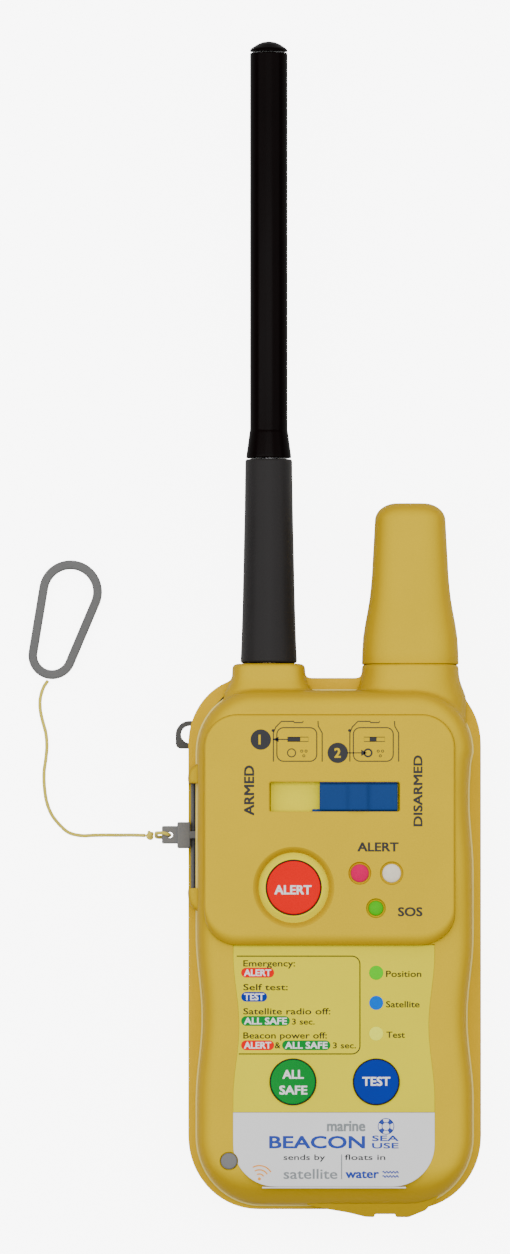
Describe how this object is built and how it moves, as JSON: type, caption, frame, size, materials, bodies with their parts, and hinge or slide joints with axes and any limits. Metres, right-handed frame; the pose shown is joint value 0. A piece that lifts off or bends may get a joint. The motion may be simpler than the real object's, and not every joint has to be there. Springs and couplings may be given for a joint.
{
  "type": "emergency position beacon",
  "caption": "Yellow hand-held emergency position beacon with a whip antenna, a stub satellite antenna, keypad, arming slider and a pull-ring lanyard.",
  "frame": {"origin": "middle of the casing's flat back", "axes": "+X to the beacon's right seen from the front, +Y towards the antennas, +Z out of the control panel"},
  "size_m": [0.1301, 0.3378, 0.0406],
  "materials": {
    "front_yellow": "satin moulded plastic with a fine grain",
    "rear_yellow": "satin moulded plastic, darker yellow",
    "foil_yellow": "smooth pale yellow film",
    "label_grey": "smooth printed film",
    "slider_blue": "satin moulded plastic",
    "alert_red": "smooth silicone",
    "safe_green": "smooth film",
    "test_blue": "smooth film",
    "lens_red": "diffusing lens",
    "lens_white": "diffusing lens",
    "lens_green": "diffusing lens",
    "window_green": "printed window",
    "window_blue": "printed window",
    "window_pale": "printed window",
    "antenna_gloss": "glossy sleeve",
    "antenna_satin": "satin rubber",
    "fitting_grey": "plain moulded nylon",
    "rubber_black": "plain",
    "cord_khaki": "braided",
    "steel": "brushed",
    "brass": "turned",
    "board_green": "solder mask",
    "ceramic": "fired ceramic",
    "cell_wrap": "wrapped can",
    "reed_glass": "clear"
  },
  "bodies": {
    "casing": {"front_shell": "front_yellow", "rear_shell": "rear_yellow", "shell_gasket": "rubber_black", "water_contact": "steel", "panel_cover": "front_yellow", "slider_track": "foil_yellow", "alert_seal": "foil_yellow", "alert_dome": "steel", "safe_dome": "steel", "test_dome": "steel", "led_red": "lens_red", "led_white": "lens_white", "led_green": "lens_green", "keypad_foil": "foil_yellow", "info_label": "label_grey", "window_position": "window_green", "window_satellite": "window_blue", "window_test": "window_pale", "antenna_sleeve": "antenna_satin", "antenna_whip": "antenna_gloss", "antenna_tip": "antenna_gloss", "antenna_core": "steel", "antenna_stud": "brass", "antenna_socket": "brass", "antenna_o_ring": "rubber_black", "antenna_lead": "rubber_black", "satellite_radome": "front_yellow", "satellite_antenna": "ceramic", "retaining_bar": "steel", "lanyard_lug": "fitting_grey", "main_board": "board_green", "shield_can": "steel", "positioning_antenna": "ceramic", "slider_reed_switch": "reed_glass", "tab_reed_switch": "reed_glass", "battery_cell_1": "cell_wrap", "battery_cell_2": "cell_wrap", "battery_cell_3": "cell_wrap", "battery_cell_4": "cell_wrap", "case_screw_1": "steel", "case_screw_2": "steel", "case_screw_3": "steel", "case_screw_4": "steel", "case_screw_5": "steel", "case_screw_6": "steel"},
    "slider": {"arming_slider": "slider_blue", "slider_magnet": "steel"},
    "alert_key": {"alert_button": "alert_red"},
    "safe_key": {"safe_button": "safe_green"},
    "test_key": {"test_button": "test_blue"},
    "release": {"pull_tab": "fitting_grey", "tab_loop": "cord_khaki", "cord_knot": "cord_khaki", "lanyard_cord": "cord_khaki", "pull_ring": "fitting_grey"}
  },
  "joints": [
    {"name": "arming_slide", "type": "slide", "parent": "casing", "child": "slider", "axis": [-1, 0, 0], "range_m": [0, 0.0118]},
    {"name": "alert_press", "type": "slide", "parent": "casing", "child": "alert_key", "axis": [0, 0, -1], "range_m": [0, 0.001], "stiffness_N_per_m": 2500, "deforming": ["alert_dome"]},
    {"name": "safe_press", "type": "slide", "parent": "casing", "child": "safe_key", "axis": [0, 0, -1], "range_m": [0, 0.0005], "stiffness_N_per_m": 5000, "deforming": ["safe_dome"]},
    {"name": "test_press", "type": "slide", "parent": "casing", "child": "test_key", "axis": [0, 0, -1], "range_m": [0, 0.0005], "stiffness_N_per_m": 5000, "deforming": ["test_dome"]},
    {"name": "tab_pull", "type": "slide", "parent": "casing", "child": "release", "axis": [-1, 0, 0], "range_m": [0, 0.02]}
  ]
}
